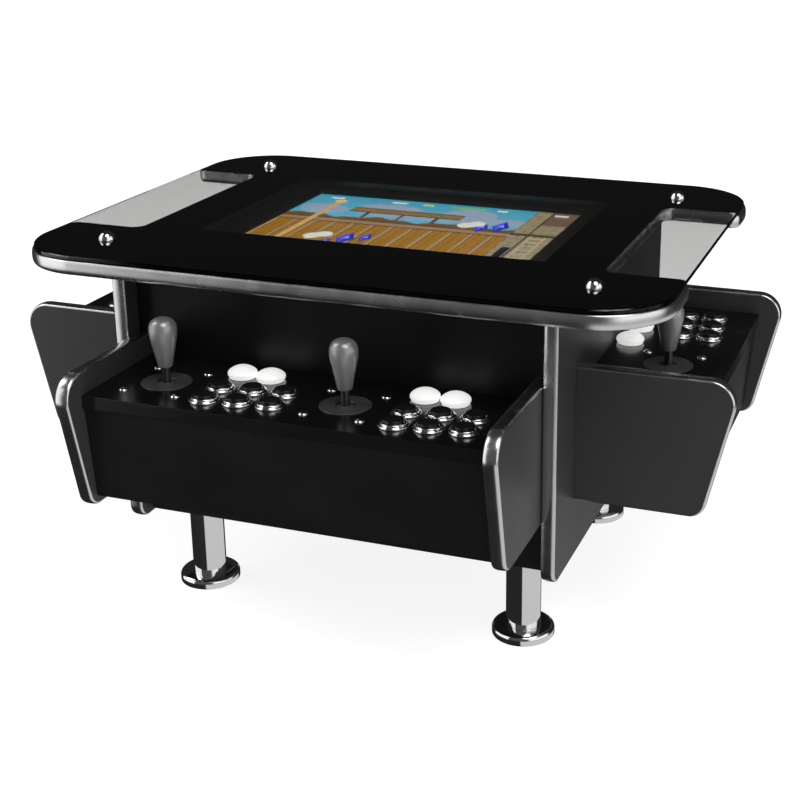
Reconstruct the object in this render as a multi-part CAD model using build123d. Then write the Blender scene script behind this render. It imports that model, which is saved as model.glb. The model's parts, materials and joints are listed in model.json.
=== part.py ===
"""Four-player cocktail table cabinet: tube legs, carcass, three control boxes, glass over a flat screen.

Millimetres. X runs along the table's long side, Y from the front players to the back, Z up from the
floor. Everything is drawn about the middle of the cabinet, then moved back so that the origin is on the
floor under the middle of the whole outline, front control box included.
"""
import math
import os
from collections import namedtuple

from build123d import *

os.makedirs("parts", exist_ok=True)

# ---- driving dimensions --------------------------------------------------------------------------
# tabletop
GLASS_TOP_Z = 516.0
GLASS_T = 6.0
BOARD_T = 18.0
TABLE_LENGTH = 882.0
TABLE_WIDTH = 670.0
TABLE_CORNER_R = 100.0
NOTCH_FACE_X = 333.0
NOTCH_FRONT_Y = -172.0
NOTCH_REAR_Y = 186.0
NOTCH_CORNER_R = 18.0
HORN_R = 13.0
CAP_X = 340.5
CAP_Y = 243.7
CAP_R = 11.5
# edge moulding, a T section: a rounded nose outside the board and a tongue in a groove
NOSE = 3.5
NOSE_ROUND = 3.2
TONGUE_DEPTH = 9.0
TONGUE_T = 2.4
GROOVE_T = 2.8
# screen
SCREEN_Y = 19.4
PICTURE_LENGTH = 426.0
PICTURE_WIDTH = 296.0
SCREEN_Z = 492.0
OPENING_LENGTH = 500.0
OPENING_WIDTH = 340.0
# cabinet carcass
PANEL_OUT_X = 309.0
PANEL_T = 18.0
PANEL_HALF_Y = 289.0
PANEL_BOTTOM_Z = 125.0
PANEL_CORNER_R = 20.0
WALL_Y = 258.0
WALL_T = 18.0
BASE_Z = 130.0
BASE_T = 18.0
FIT_GAP = 0.4
# slots that let the wiring into the control boxes, hidden inside them
WIRING_LOW_Z = 262.0
WIRING_HIGH_Z = 330.0
FRONT_WIRING_HALF = 230.0
SIDE_WIRING_HALF = 70.0
# legs
LEG_X = 241.2
LEG_Y = 197.6
LEG_R = 24.0
LEG_WALL = 2.0
FOOT_R = 43.0
FOOT_H = 15.0
# control boxes
LID_TOP_Z = 366.0
LID_T = 18.0
LID_DEPTH = 173.0
FRONT_BOX_HALF = 272.0
SIDE_BOX_HALF = 183.0
CHEEK_T = 18.0
CHEEK_TOP_Z = 397.0
CHEEK_BOTTOM_Z = 208.0
CHEEK_TOP_REACH = 212.6
CHEEK_BOTTOM_REACH = 169.0
CHEEK_TOP_R = 33.0
CHEEK_BOTTOM_R = 22.0
FACE_BOARD_T = 15.0
FACE_BOARD_BOTTOM_Z = 222.0
FLOOR_Z = 228.0
FLOOR_T = 15.0
# joysticks
FRONT_BOLTS = (74.5, 85.2)
SIDE_BOLTS = (85.2, 74.5)
PIVOT_DEPTH = 24.0
TILT_DEG = 9.0
SHAFT_R = 5.6
DUST_PLATE_R = 33.0
DUST_PLATE_HOLE_R = 12.0
DUST_BALL_R = 26.0
LID_STICK_HOLE_R = 21.5
# push buttons: step to the next button on the right and step from the near row to the far row
BUTTON_STEP = (43.4, 4.4)
ROW_STEP = (-0.3, 41.2)
BUTTON_TRAVEL = 2.8
BARREL_R = 13.75
BARREL_HOLE_R = 14.2

BOARD_TOP_Z = GLASS_TOP_Z - GLASS_T
BOARD_BOTTOM_Z = BOARD_TOP_Z - BOARD_T
UP = (Align.CENTER, Align.CENTER, Align.MIN)

# A player's place on a lid: joystick, nearest left button and left dome button as (x, y) from the middle
# of the wall, x to the player's right and y away from the player, and the spacing of the mount's bolts.
Player = namedtuple("Player", "stick button dome dome_pitch bolts")
LEFT_PLAYER = Player((-195.5, -95.0), (-117.8, -136.1), (-113.0, -43.0), 40.7, FRONT_BOLTS)
RIGHT_PLAYER = Player((56.1, -95.0), (137.0, -136.1), (141.8, -43.0), 40.7, FRONT_BOLTS)
END_PLAYER = Player((-78.0, -93.0), (49.0, -124.0), (-2.0, -23.0), 62.0, SIDE_BOLTS)

# Each control box: frame on the wall it is fixed to (local y points into the cabinet), half length
# between cheeks, and its players.
BOXES = {
    "front": (Pos(0, -WALL_Y, 0), FRONT_BOX_HALF, [LEFT_PLAYER, RIGHT_PLAYER]),
    "right": (Pos(PANEL_OUT_X, 0, 0) * Rot(0, 0, 90), SIDE_BOX_HALF, [END_PLAYER]),
    "left": (Pos(-PANEL_OUT_X, 0, 0) * Rot(0, 0, -90), SIDE_BOX_HALF, [END_PLAYER]),
}


def rod(radius, z_low, z_high, x=0.0, y=0.0):
    """Upright cylinder between two heights."""
    return Pos(x, y, z_low) * Cylinder(radius, z_high - z_low, align=UP)


def block(x_low, x_high, y_low, y_high, z_low, z_high):
    """Box between two corners."""
    centre = Pos((x_low + x_high) / 2, (y_low + y_high) / 2, (z_low + z_high) / 2)
    return centre * Box(x_high - x_low, y_high - y_low, z_high - z_low)


def turned(points):
    """Solid of revolution about Z from a closed outline of (radius, height) points."""
    outline = make_face(Polyline(*points, close=True))
    return revolve(Plane.XZ * outline, Axis.Z)


def stations():
    """Every player and the frame at the joystick on top of the lid."""
    found = []
    for box_frame, _, players in BOXES.values():
        for player in players:
            found.append((player, box_frame * Pos(*player.stick, LID_TOP_Z)))
    return found


def black_button_places(player):
    """Near row then far row, each from left to right, from the joystick."""
    first_x = player.button[0] - player.stick[0]
    first_y = player.button[1] - player.stick[1]
    return [
        (first_x + k * BUTTON_STEP[0] + row * ROW_STEP[0], first_y + k * BUTTON_STEP[1] + row * ROW_STEP[1])
        for row in range(2)
        for k in range(3)
    ]


def dome_button_places(player):
    first_x = player.dome[0] - player.stick[0]
    return [(first_x + k * player.dome_pitch, player.dome[1] - player.stick[1]) for k in range(2)]


def bolt_places(player):
    half_x = player.bolts[0] / 2
    half_y = player.bolts[1] / 2
    return [(x, y) for x in (-half_x, half_x) for y in (-half_y, half_y)]


def as_node(solids):
    """One node from one or several separate solids."""
    flat = []
    for item in solids:
        flat += list(item.solids())
    return flat[0] if len(flat) == 1 else Compound(children=flat)


def save(name, solids):
    """Write one node, moved from the drawing's origin to the part's origin."""
    export_step(as_node([Pos(0, ORIGIN_SHIFT_Y, 0) * solid for solid in solids]), f"parts/{name}.step")


# ---- tabletop ------------------------------------------------------------------------------------
def table_outline():
    """Plan of the board: a rounded rectangle with a deep notch in each short end."""
    plan = RectangleRounded(TABLE_LENGTH, TABLE_WIDTH, TABLE_CORNER_R)
    depth = 2 * (TABLE_LENGTH / 2 - NOTCH_FACE_X)
    width = NOTCH_REAR_Y - NOTCH_FRONT_Y
    middle = (NOTCH_REAR_Y + NOTCH_FRONT_Y) / 2
    for side in (-1, 1):
        cutter = RectangleRounded(depth, width, NOTCH_CORNER_R)
        plan -= Pos(side * TABLE_LENGTH / 2, middle) * cutter
    tips = [v for v in plan.vertices() if abs(abs(v.X) - TABLE_LENGTH / 2) < 0.01
            and min(abs(v.Y - NOTCH_FRONT_Y), abs(v.Y - NOTCH_REAR_Y)) < 0.01]
    return fillet(tips, HORN_R)


def nose_ring(inner, outer, thickness):
    """Moulding between two plan outlines with its outside edges rounded over."""
    ring = extrude(outer - inner, thickness)
    top = ring.faces().sort_by(Axis.Z)[-1].outer_wire().edges()
    bottom = ring.faces().sort_by(Axis.Z)[0].outer_wire().edges()
    return fillet(list(top) + list(bottom), NOSE_ROUND)


def tabletop_board(plan):
    board = extrude(plan, BOARD_T)
    groove = extrude(plan - offset(plan, -TONGUE_DEPTH - 1.0), GROOVE_T)
    board -= Pos(0, 0, (BOARD_T - GROOVE_T) / 2) * groove
    board -= Pos(0, SCREEN_Y, 0) * Box(OPENING_LENGTH, OPENING_WIDTH, 3 * BOARD_T)
    for x in (-CAP_X, CAP_X):
        for y in (-CAP_Y, CAP_Y):
            board -= rod(3.3, -1, BOARD_T + 1, x, y)
    return Pos(0, 0, BOARD_BOTTOM_Z) * board


def tabletop_trim(plan):
    height = BOARD_T + 0.8
    ring = nose_ring(plan, offset(plan, NOSE), height)
    tongue = extrude(plan - offset(plan, -TONGUE_DEPTH), TONGUE_T)
    ring += Pos(0, 0, 0.8 + (BOARD_T - TONGUE_T) / 2) * tongue
    return Pos(0, 0, BOARD_BOTTOM_Z - 0.8) * ring


def glass_top():
    sheet = extrude(RectangleRounded(TABLE_LENGTH, TABLE_WIDTH, TABLE_CORNER_R), GLASS_T)
    for x in (-CAP_X, CAP_X):
        for y in (-CAP_Y, CAP_Y):
            sheet -= rod(4.5, -1, GLASS_T + 1, x, y)
    rims = sheet.faces().sort_by(Axis.Z)[-1].outer_wire().edges()
    rims += sheet.faces().sort_by(Axis.Z)[0].outer_wire().edges()
    return Pos(0, 0, BOARD_TOP_Z) * chamfer(rims, 1.2)


def glass_caps():
    """Domed caps on screws that hold the glass down, each with its nut under the board."""
    dome = Sphere(CAP_R) & block(-20, 20, -20, 20, 0.8, 20)
    dome += rod(CAP_R + 0.4, 0, 0.8)
    dome += rod(3.0, BOARD_BOTTOM_Z - GLASS_TOP_Z - 9, 0)
    nut = rod(8.0, BOARD_BOTTOM_Z - GLASS_TOP_Z - 6, BOARD_BOTTOM_Z - GLASS_TOP_Z)
    nut -= rod(3.1, -40, 0)
    return [Pos(x, y, GLASS_TOP_Z) * piece for x in (-CAP_X, CAP_X) for y in (-CAP_Y, CAP_Y)
            for piece in (dome, nut)]


def monitor():
    """Flat display module hung under the board on two rails."""
    cell = block(-222, 222, SCREEN_Y - 157, SCREEN_Y + 157, SCREEN_Z - 9, SCREEN_Z)
    case = block(-205, 205, SCREEN_Y - 140, SCREEN_Y + 140, SCREEN_Z - 38, SCREEN_Z - 9)
    case = chamfer(case.faces().sort_by(Axis.Z)[0].edges(), 10)
    rails = []
    for x in (-150.0, 150.0):
        rail = block(x - 12, x + 12, SCREEN_Y - 186, SCREEN_Y + 186, SCREEN_Z - 41, SCREEN_Z - 38)
        for side in (-1, 1):
            y = SCREEN_Y + side * 184.5
            rail += block(x - 12, x + 12, y - 1.5, y + 1.5, SCREEN_Z - 41, BOARD_BOTTOM_Z - 0.2)
            foot_y = SCREEN_Y + side * 193.0
            rail += block(x - 12, x + 12, foot_y - 10, foot_y + 10,
                          BOARD_BOTTOM_Z - 3.2, BOARD_BOTTOM_Z - 0.2)
        rails.append(rail)
    return [cell, case] + rails


def monitor_bezel():
    """Black mask between the picture and the board's opening, sloping down to the picture."""
    low = SCREEN_Z + 0.2
    frame = block(-249, 249, SCREEN_Y - 169, SCREEN_Y + 169, low, low + 7)
    window = block(-213, 213, SCREEN_Y - 148, SCREEN_Y + 148, low - 1, low + 8)
    frame -= window
    inner = [e for e in frame.edges().filter_by(lambda e: abs(e.center().Z - low - 7) < 0.01)
             if abs(e.center().X) < 214 and abs(e.center().Y - SCREEN_Y) < 149]
    return chamfer(inner, 5)


# ---- carcass -------------------------------------------------------------------------------------
def panel_outline(inset):
    """Side view of an end panel (y, z), running up past the tabletop so that only its foot is rounded."""
    height = 500.0
    face = Pos(0, PANEL_BOTTOM_Z + height / 2) * Rectangle(2 * PANEL_HALF_Y, height)
    lower = face.vertices().sort_by(Axis.Y)[:2]
    face = fillet(lower, PANEL_CORNER_R)
    if inset:
        face = offset(face, -inset)
    limit = BOARD_BOTTOM_Z - 0.3
    keep = Pos(0, limit / 2) * Rectangle(800, limit)
    return face & keep


def panel_plane(x):
    return Plane(origin=(x, 0, 0), x_dir=(0, 1, 0), z_dir=(1, 0, 0))


def trim_on(plane, inner, outer, groove_end, thickness):
    """T moulding round the edge of an upright board of the given thickness, on the board's own plane."""
    proud = 0.3
    ring = extrude(outer - inner, thickness + 2 * proud)
    long_edges = [e for e in ring.edges() if on_outline(e, outer)]
    ring = fillet(long_edges, NOSE_ROUND)
    tongue = Pos(0, 0, proud + (thickness - TONGUE_T) / 2) * extrude(inner - groove_end, TONGUE_T)
    return plane.offset(-proud) * (ring + tongue)


def on_outline(edge, outer):
    """True for an edge that lies along the moulded part of an outline, not along its cut end."""
    middle = edge.position_at(0.5)
    flat = Vector(middle.X, middle.Y, 0)
    near = [w for w in outer.edges() if w.distance_to(flat) < 0.01]
    box = outer.bounding_box()
    on_cut = abs(middle.X - 0.3) < 0.05 or (box.max.Y > 480 and abs(middle.Y - box.max.Y) < 0.05)
    level = abs(edge.position_at(0).Z - edge.position_at(1).Z) < 0.01
    return bool(near) and level and not on_cut


def grooved_board(plane, inner, groove_end, thickness):
    """Upright board with a saw cut round its edge for the moulding's tongue."""
    board = extrude(inner, thickness)
    board -= Pos(0, 0, (thickness - GROOVE_T) / 2) * extrude(inner - groove_end, GROOVE_T)
    return plane * board


def end_panels():
    made = []
    for x in (-PANEL_OUT_X, PANEL_OUT_X - PANEL_T):
        panel = grooved_board(panel_plane(x), panel_outline(NOSE), panel_outline(NOSE + 10), PANEL_T)
        panel -= block(x - 1, x + PANEL_T + 1, -SIDE_WIRING_HALF, SIDE_WIRING_HALF,
                       WIRING_LOW_Z, WIRING_HIGH_Z)
        made.append(panel)
    return made


def end_panel_trims():
    made = []
    for x in (-PANEL_OUT_X, PANEL_OUT_X - PANEL_T):
        plane = panel_plane(x)
        groove_end = panel_outline(NOSE + 9)
        made.append(trim_on(plane, panel_outline(NOSE), panel_outline(0), groove_end, PANEL_T))
    return made


def carcass_boards():
    """Front wall, rear wall and base board between the end panels."""
    half = PANEL_OUT_X - PANEL_T - FIT_GAP
    top = BOARD_BOTTOM_Z - 0.3
    front = block(-half, half, -WALL_Y, -WALL_Y + WALL_T, BASE_Z, top)
    front -= block(-FRONT_WIRING_HALF, FRONT_WIRING_HALF, -WALL_Y - 1, -WALL_Y + WALL_T + 1,
                   WIRING_LOW_Z, WIRING_HIGH_Z)
    rear = block(-half, half, WALL_Y - WALL_T, WALL_Y, BASE_Z, top)
    rear -= block(60.5, 109.5, WALL_Y - 40, WALL_Y + 1, 175.5, 204.5)
    for k in range(9):
        slot = block(-34, 34, WALL_Y - 40, WALL_Y + 1, 430, 436)
        rear -= Pos(-150, 0, -12 * k) * slot
    inside = WALL_Y - WALL_T - FIT_GAP
    base = block(-half, half, -inside, inside, BASE_Z, BASE_Z + BASE_T)
    for x in (-LEG_X, LEG_X):
        for y in (-LEG_Y, LEG_Y):
            base -= rod(5.4, BASE_Z - 1, BASE_Z + BASE_T + 1, x, y)
    return [front, rear, base]


def leg_tubes():
    """Tube legs, each with a plug and threaded stud that fixes it through the base board."""
    made = []
    for x in (-LEG_X, LEG_X):
        for y in (-LEG_Y, LEG_Y):
            tube = rod(LEG_R, FOOT_H - 1, BASE_Z - 0.1, x, y)
            tube -= rod(LEG_R - LEG_WALL, FOOT_H - 2, BASE_Z, x, y)
            plug = rod(LEG_R - LEG_WALL, BASE_Z - 22, BASE_Z - 0.1, x, y)
            stud = rod(5.0, BASE_Z - 0.1, BASE_Z + BASE_T + 12, x, y)
            nut = rod(10, BASE_Z + BASE_T, BASE_Z + BASE_T + 8, x, y)
            nut -= rod(5.1, BASE_Z, BASE_Z + 60, x, y)
            made += [tube, plug + stud, nut]
    return made


def leg_feet():
    """Round turned feet with a spigot up inside the tube."""
    spigot_r = LEG_R - LEG_WALL - 0.2
    outline = [(0, 0), (FOOT_R - 1.5, 0), (FOOT_R, 1.5), (FOOT_R, 8.5), (FOOT_R - 0.8, 11.2),
               (FOOT_R - 2.6, 13), (FOOT_R - 5.5, FOOT_H - 1), (spigot_r, FOOT_H - 1),
               (spigot_r, FOOT_H + 20), (spigot_r - 1, FOOT_H + 21), (0, FOOT_H + 21)]
    foot = turned(outline)
    return [Pos(x, y, 0) * foot for x in (-LEG_X, LEG_X) for y in (-LEG_Y, LEG_Y)]


# ---- control boxes -------------------------------------------------------------------------------
def cheek_outline(inset):
    """Side view of a cheek: distance out from the wall, height."""
    corners = [(-40, CHEEK_BOTTOM_Z), (CHEEK_BOTTOM_REACH, CHEEK_BOTTOM_Z),
               (CHEEK_TOP_REACH, CHEEK_TOP_Z), (-40, CHEEK_TOP_Z)]
    face = make_face(Polyline(*corners, close=True))
    face = fillet([v for v in face.vertices() if v.X > 200], CHEEK_TOP_R)
    face = fillet([v for v in face.vertices() if v.X > 160 and v.Y < CHEEK_BOTTOM_Z + 1], CHEEK_BOTTOM_R)
    if inset:
        face = offset(face, -inset)
    return face & (Pos(150.3, 300) * Rectangle(300, 400))


def cheek_planes(half):
    """Planes of a box's cheeks in the box frame: x out from the wall, y up; boards grow towards -X."""
    return [Plane(origin=(x, 0, 0), x_dir=(0, -1, 0), z_dir=(-1, 0, 0)) for x in (-half, half + CHEEK_T)]


def cheeks():
    made = []
    for frame, half, _ in BOXES.values():
        for plane in cheek_planes(half):
            board = grooved_board(plane, cheek_outline(NOSE), cheek_outline(NOSE + 10), CHEEK_T)
            made.append(frame * board)
    return made


def cheek_trims():
    made = []
    for frame, half, _ in BOXES.values():
        for plane in cheek_planes(half):
            trim = trim_on(plane, cheek_outline(NOSE), cheek_outline(0), cheek_outline(NOSE + 9), CHEEK_T)
            made.append(frame * trim)
    return made


def control_lids():
    made = []
    for frame, half, players in BOXES.values():
        inner = half - FIT_GAP
        lid = block(-inner, inner, -LID_DEPTH, -FIT_GAP, LID_TOP_Z - LID_T, LID_TOP_Z)
        lid = fillet(lid.edges().filter_by(Axis.X).sort_by(Axis.Y)[:2], 1.2)
        for player in players:
            x, y = player.stick
            lid -= rod(LID_STICK_HOLE_R, LID_TOP_Z - 30, LID_TOP_Z + 1, x, y)
            for dx, dy in black_button_places(player) + dome_button_places(player):
                lid -= rod(BARREL_HOLE_R, LID_TOP_Z - 30, LID_TOP_Z + 1, x + dx, y + dy)
            for dx, dy in bolt_places(player):
                lid -= rod(3.1, LID_TOP_Z - 30, LID_TOP_Z + 1, x + dx, y + dy)
        made.append(frame * lid)
    return made


def box_boards():
    """Leaning face board and floor of each control box."""
    made = []
    under_lid = LID_TOP_Z - LID_T - 0.3
    top_y = -LID_DEPTH + 3.5
    low_y = -LID_DEPTH + 15.0
    for frame, half, _ in BOXES.values():
        inner = half - FIT_GAP
        section = [(top_y, under_lid), (top_y + FACE_BOARD_T, under_lid),
                   (low_y + FACE_BOARD_T, FACE_BOARD_BOTTOM_Z), (low_y, FACE_BOARD_BOTTOM_Z)]
        face = make_face(Polyline(*section, close=True))
        board = extrude(Plane(origin=(-inner, 0, 0), x_dir=(0, 1, 0), z_dir=(1, 0, 0)) * face, 2 * inner)
        floor = block(-inner, inner, low_y + FACE_BOARD_T, -FIT_GAP, FLOOR_Z, FLOOR_Z + FLOOR_T)
        floor -= board
        made += [frame * board, frame * floor]
    return made


# ---- joysticks -----------------------------------------------------------------------------------
def dust_plate():
    return rod(DUST_PLATE_R, 0, 1.2) - rod(DUST_PLATE_HOLE_R, -1, 3)


def joystick_mount(player):
    """Steel plate, bearing cup and four switches, hung under the lid (z = 0 on top of the lid)."""
    low = -LID_T
    half_x = player.bolts[0] / 2 + 9
    half_y = player.bolts[1] / 2 + 9
    plate = block(-half_x, half_x, -half_y, half_y, low - 2.5, low)
    plate -= rod(17.0, low - 5, low + 1)
    for x, y in bolt_places(player):
        plate -= rod(3.1, low - 5, low + 1, x, y)
    cup = rod(27, -52, low - 2.5) - rod(21, -49, low) - rod(15, -53, -48)
    cup -= Pos(0, 0, -PIVOT_DEPTH) * Rot(0, 90, 0) * Cylinder(2.55, 80)
    switches = []
    for k in range(4):
        body = block(14.5, 34, -4, 4, -64, -52)
        switches.append(Rot(0, 0, 90 * k) * body)
    return [plate, cup] + switches


def carriage_bolt():
    """Domed bolt through lid and plate, and its nut."""
    head = turned([(0, 0), (6.2, 0), (5.9, 1.0), (5.0, 2.0), (3.4, 2.8), (1.6, 3.2), (0, 3.3)])
    bolt = head + rod(3.0, -LID_T - 2.5 - 8, 0)
    nut_top = -LID_T - 2.5
    nut = extrude(Pos(0, 0, nut_top - 5) * RegularPolygon(5.8, 6), 5) - rod(3.05, -60, 0)
    return [bolt, nut]


def gimbal():
    """Ring that tips about the joystick's x axis on two pins and carries the stick's cross pins."""
    ring = rod(15.5, -3, 3) - rod(11, -4, 4)
    ring -= Rot(90, 0, 0) * Cylinder(2.05, 60)
    for side in (-1, 1):
        pin = Pos(side * 19.6, 0, 0) * Rot(0, 90, 0) * Cylinder(2.5, 10.8)
        ring += pin
    return Pos(0, 0, -PIVOT_DEPTH) * ring


def stick():
    """Bat handle, steel shaft with cross pins, ball shaped dust cap and switch actuator."""
    bat = turned([(0, 22.3), (8.9, 22.3), (9.5, 22.9), (17.0, 60.5), (17.9, 66.0), (18.2, 70.5),
                  (18.0, 74.5), (17.0, 78.5), (15.1, 82.0), (12.1, 84.8), (8.3, 86.6), (4.2, 87.5),
                  (0, 87.8)])
    bat -= rod(SHAFT_R, 20, 45)
    cap_angle = math.asin(DUST_PLATE_HOLE_R / DUST_BALL_R) + math.radians(TILT_DEG + 3.5)
    ball = Sphere(DUST_BALL_R) - Sphere(DUST_BALL_R - 1.6)
    cone_r = 40 * math.tan(cap_angle)
    ball &= turned([(0, 0), (cone_r, 40), (0, 40)])
    ball = Pos(0, 0, -PIVOT_DEPTH) * ball
    ball -= rod(SHAFT_R, -20, 10)
    shaft = rod(SHAFT_R, -PIVOT_DEPTH, 45) + rod(7.6, -PIVOT_DEPTH - 5, -PIVOT_DEPTH + 5)
    shaft += rod(4.0, -62, -PIVOT_DEPTH)
    shaft += Pos(0, 0, -PIVOT_DEPTH) * Rot(90, 0, 0) * Cylinder(2.0, 29)
    actuator = rod(7.5, -62, -54) - rod(4.0, -63, -53)
    return [bat, ball, shaft, actuator]


# ---- push buttons --------------------------------------------------------------------------------
def button_barrel():
    """Threaded barrel under the rim, its ring nut and the switch holder clipped on below."""
    nut = rod(17.0, -LID_T - 7, -LID_T) - rod(BARREL_R + 0.1, -60, 0)
    holder = block(-9, 9, -13, 13, -40, -24.5)
    return nut, holder


def black_button_housing():
    rim = turned([(0, -24.5), (BARREL_R, -24.5), (BARREL_R, 0), (18.7, 0), (19.2, 0.7), (18.9, 2.0),
                  (17.8, 2.9), (16.5, 3.1), (16.3, 5.1), (15.5, 5.9), (14.4, 6.0), (0, 6.0)])
    rim -= rod(13.2, 0.5, 9)
    rim -= rod(10.5, -30, 1)
    return [rim, *button_barrel()]


def dome_button_housing():
    collar = turned([(0, -24.5), (BARREL_R, -24.5), (BARREL_R, 0), (17.7, 0), (17.7, 3.0), (17.3, 3.4),
                     (0, 3.4)])
    collar -= rod(10.5, -30, 9)
    return [collar, *button_barrel()]


def black_plunger():
    """Plunger with a slightly hollow top; pressed, its head stops 1.2 mm above the floor of the rim."""
    low = BUTTON_TRAVEL + 1.7
    head = turned([(0, low), (12.7, low), (12.7, 8.3), (12.3, 8.9), (11.6, 9.1), (9.0, 8.8), (0, 8.5)])
    return head + rod(10.0, -20, low + 0.5)


def dome_plunger():
    """Domed cap with a skirt round the collar that stops 0.4 mm above the lid when pressed."""
    skirt = BUTTON_TRAVEL + 0.4
    cap = turned([(0, 6.6), (18.3, 6.6), (18.3, skirt), (19.3, skirt), (19.3, 5.6), (18.9, 7.2),
                     (17.6, 8.8), (15.6, 10.4), (13.0, 12.0), (10.0, 13.4), (6.5, 14.4), (3.0, 14.9),
                     (0, 15.0)])
    return cap + rod(10.0, -20, 8)


# ---- electronics ---------------------------------------------------------------------------------
def game_board():
    """Main circuit board on stand-offs on the base board."""
    z = BASE_Z + BASE_T
    board = block(-190, -10, -80, 80, z + 12, z + 13.6)
    parts = [block(-130, -90, -30, 10, z + 13.6, z + 26), block(-60, -20, 30, 70, z + 13.6, z + 18),
             block(-185, -165, -60, 60, z + 13.6, z + 22), block(-60, -20, -60, -20, z + 13.6, z + 16)]
    posts = [rod(4, z, z + 12, x, y) for x in (-182, -18) for y in (-72, 72)]
    whole = board
    for item in parts + posts:
        whole += item
    return [whole]


def power_unit():
    """Power supply on the base board and the inlet socket in the rear wall."""
    z = BASE_Z + BASE_T
    case = block(50, 170, 20, 110, z, z + 42)
    case = fillet(case.edges().filter_by(Axis.Z), 3)
    inlet = block(61, 109, WALL_Y - 30, WALL_Y, 176, 204) + block(55, 115, WALL_Y, WALL_Y + 2.5, 170, 210)
    inlet -= block(68, 102, WALL_Y - 18, WALL_Y + 5, 179, 201)
    for x in (-10.0, 0.0, 10.0):
        inlet += block(84, 86, WALL_Y - 20, WALL_Y - 4, 187, 193).moved(Location((x, 0, 0)))
    return [case, inlet]


# ---- build ---------------------------------------------------------------------------------------
plan_shape = table_outline()
moulding = tabletop_trim(plan_shape)
cheek_mouldings = cheek_trims()
front_y = min(piece.bounding_box().min.Y for piece in cheek_mouldings)
rear_y = moulding.bounding_box().max.Y
ORIGIN_SHIFT_Y = -(front_y + rear_y) / 2

save("glass_top", [glass_top()])
save("glass_caps", glass_caps())
save("tabletop_board", [tabletop_board(plan_shape)])
save("tabletop_trim", [moulding])
save("monitor", monitor())
save("monitor_bezel", [monitor_bezel()])
save("end_panels", end_panels())
save("panel_trims", end_panel_trims() + cheek_mouldings)
save("carcass_boards", carcass_boards())
save("leg_tubes", leg_tubes())
save("leg_feet", leg_feet())
save("cheeks", cheeks())
save("control_lids", control_lids())
save("box_boards", box_boards())
save("game_board", game_board())
save("power_unit", power_unit())

dust_plates = []
mounts = []
bolts = []
housings = []
for number, (player, place) in enumerate(stations(), start=1):
    dust_plates.append(place * dust_plate())
    mounts += [place * solid for solid in joystick_mount(player)]
    for x, y in bolt_places(player):
        bolts += [place * Pos(x, y, 0) * solid for solid in carriage_bolt()]
    save(f"gimbal_{number}", [place * gimbal()])
    save(f"stick_{number}", [place * solid for solid in stick()])
    for k, (x, y) in enumerate(black_button_places(player), start=1):
        housings += [place * Pos(x, y, 0) * solid for solid in black_button_housing()]
        save(f"button_{number}_{k}", [place * Pos(x, y, 0) * black_plunger()])
    for k, (x, y) in enumerate(dome_button_places(player), start=1):
        housings += [place * Pos(x, y, 0) * solid for solid in dome_button_housing()]
        save(f"dome_button_{number}_{k}", [place * Pos(x, y, 0) * dome_plunger()])
save("dust_plates", dust_plates)
save("joystick_mounts", mounts)
save("carriage_bolts", bolts)
save("button_housings", housings)
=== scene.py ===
"""The looks of a four-player cocktail table cabinet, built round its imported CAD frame. Metres, Z up."""

import json
import math

import bpy
import numpy as np
from mathutils import Matrix, Vector


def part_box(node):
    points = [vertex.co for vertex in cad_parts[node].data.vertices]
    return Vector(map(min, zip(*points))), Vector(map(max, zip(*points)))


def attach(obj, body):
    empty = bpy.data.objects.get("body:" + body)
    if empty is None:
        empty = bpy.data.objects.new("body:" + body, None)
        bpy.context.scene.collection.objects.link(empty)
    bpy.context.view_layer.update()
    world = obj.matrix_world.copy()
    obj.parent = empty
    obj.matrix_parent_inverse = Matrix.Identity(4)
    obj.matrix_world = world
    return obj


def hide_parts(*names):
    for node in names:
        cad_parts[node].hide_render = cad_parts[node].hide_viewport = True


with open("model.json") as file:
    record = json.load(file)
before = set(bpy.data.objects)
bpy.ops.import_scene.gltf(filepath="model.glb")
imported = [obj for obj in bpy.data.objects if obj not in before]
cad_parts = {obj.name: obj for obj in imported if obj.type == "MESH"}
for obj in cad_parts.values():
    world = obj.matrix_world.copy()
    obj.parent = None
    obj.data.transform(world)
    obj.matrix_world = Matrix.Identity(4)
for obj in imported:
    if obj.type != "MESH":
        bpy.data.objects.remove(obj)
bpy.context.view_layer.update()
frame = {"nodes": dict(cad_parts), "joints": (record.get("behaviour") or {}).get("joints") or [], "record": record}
nodes = frame["nodes"]
record = frame["record"]

MM = 0.001

# ---- places and sizes read from the frame ---------------------------------------------------------
GLASS_LOW, GLASS_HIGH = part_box("glass_top")
MIDDLE = (GLASS_LOW + GLASS_HIGH) / 2
BOARD_LOW, BOARD_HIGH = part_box("tabletop_board")
TRIM_LOW, TRIM_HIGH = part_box("tabletop_trim")
LID_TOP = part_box("control_lids")[1].z
JOINTS = {joint["name"]: joint for joint in frame["joints"]}
STATIONS = (1, 2, 3, 4)
BLACK_BUTTONS = (1, 2, 3, 4, 5, 6)
DOME_BUTTONS = (1, 2)

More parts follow.
